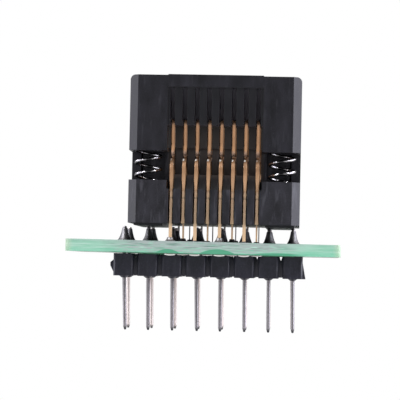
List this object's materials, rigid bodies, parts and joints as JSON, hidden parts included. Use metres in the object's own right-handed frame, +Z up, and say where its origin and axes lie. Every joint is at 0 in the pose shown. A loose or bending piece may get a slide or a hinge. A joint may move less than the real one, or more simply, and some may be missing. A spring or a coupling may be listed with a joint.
{
  "type": "ic socket adapter",
  "caption": "Open-top test socket with a press-down sprung cover and swinging contacts, soldered on a small adapter board with two rows of pins below for a dual in-line socket.",
  "frame": {"origin": "under the middle of the board, on the plane of the pin tips", "axes": "+X along the contact rows and the longer side of the board, +Y across the rows away from the side in the picture, +Z up out of the open top of the socket"},
  "size_m": [0.0282, 0.023, 0.0266],
  "materials": {
    "board": "green solder mask over glass-fibre laminate",
    "header_plastic": "black moulded plastic",
    "socket_plastic": "dark grey-black moulded plastic, fine matt grain",
    "pin_metal": "bright tin plate on turned pins",
    "solder": "solidified solder",
    "contact_metal": "gold-plated sheet, satin",
    "spring_wire": "bright steel wire"
  },
  "bodies": {
    "base": {"board": "board", "header_front": "header_plastic", "header_rear": "header_plastic", "pins_front": "pin_metal", "pins_rear": "pin_metal", "header_solder": "solder", "tail_solder": "solder", "socket_base": "socket_plastic", "contact_front_1": "contact_metal", "contact_front_2": "contact_metal", "contact_front_3": "contact_metal", "contact_front_4": "contact_metal", "contact_front_5": "contact_metal", "contact_front_6": "contact_metal", "contact_front_7": "contact_metal", "contact_front_8": "contact_metal", "contact_rear_1": "contact_metal", "contact_rear_2": "contact_metal", "contact_rear_3": "contact_metal", "contact_rear_4": "contact_metal", "contact_rear_5": "contact_metal", "contact_rear_6": "contact_metal", "contact_rear_7": "contact_metal", "contact_rear_8": "contact_metal", "spring_front_left": "spring_wire", "spring_front_right": "spring_wire", "spring_rear_left": "spring_wire", "spring_rear_right": "spring_wire"},
    "cover": {"cover": "socket_plastic"},
    "front_arms": {"arm_front_1": "contact_metal", "arm_front_2": "contact_metal", "arm_front_3": "contact_metal", "arm_front_4": "contact_metal", "arm_front_5": "contact_metal", "arm_front_6": "contact_metal", "arm_front_7": "contact_metal", "arm_front_8": "contact_metal"},
    "rear_arms": {"arm_rear_1": "contact_metal", "arm_rear_2": "contact_metal", "arm_rear_3": "contact_metal", "arm_rear_4": "contact_metal", "arm_rear_5": "contact_metal", "arm_rear_6": "contact_metal", "arm_rear_7": "contact_metal", "arm_rear_8": "contact_metal"}
  },
  "joints": [
    {"name": "cover_press", "type": "slide", "parent": "base", "child": "cover", "axis": [0, 0, -1], "range_m": [0, 0.0026], "stiffness_N_per_m": 2700, "springref_m": -0.001, "deforming": ["spring_front_left", "spring_front_right", "spring_rear_left", "spring_rear_right"]},
    {"name": "front_contacts_open", "type": "hinge", "parent": "base", "child": "front_arms", "pos_m": [0.00097, -0.0062, 0.01355], "axis": [1, 0, 0], "range_deg": [0, 16.8]},
    {"name": "rear_contacts_open", "type": "hinge", "parent": "base", "child": "rear_arms", "pos_m": [0.00097, 0.0062, 0.01355], "axis": [-1, 0, 0], "range_deg": [0, 16.8]}
  ],
  "couplings": [
    {"joint": "front_contacts_open", "follows": "cover_press", "rad_per_m": 112.1},
    {"joint": "rear_contacts_open", "follows": "cover_press", "rad_per_m": 112.1}
  ]
}
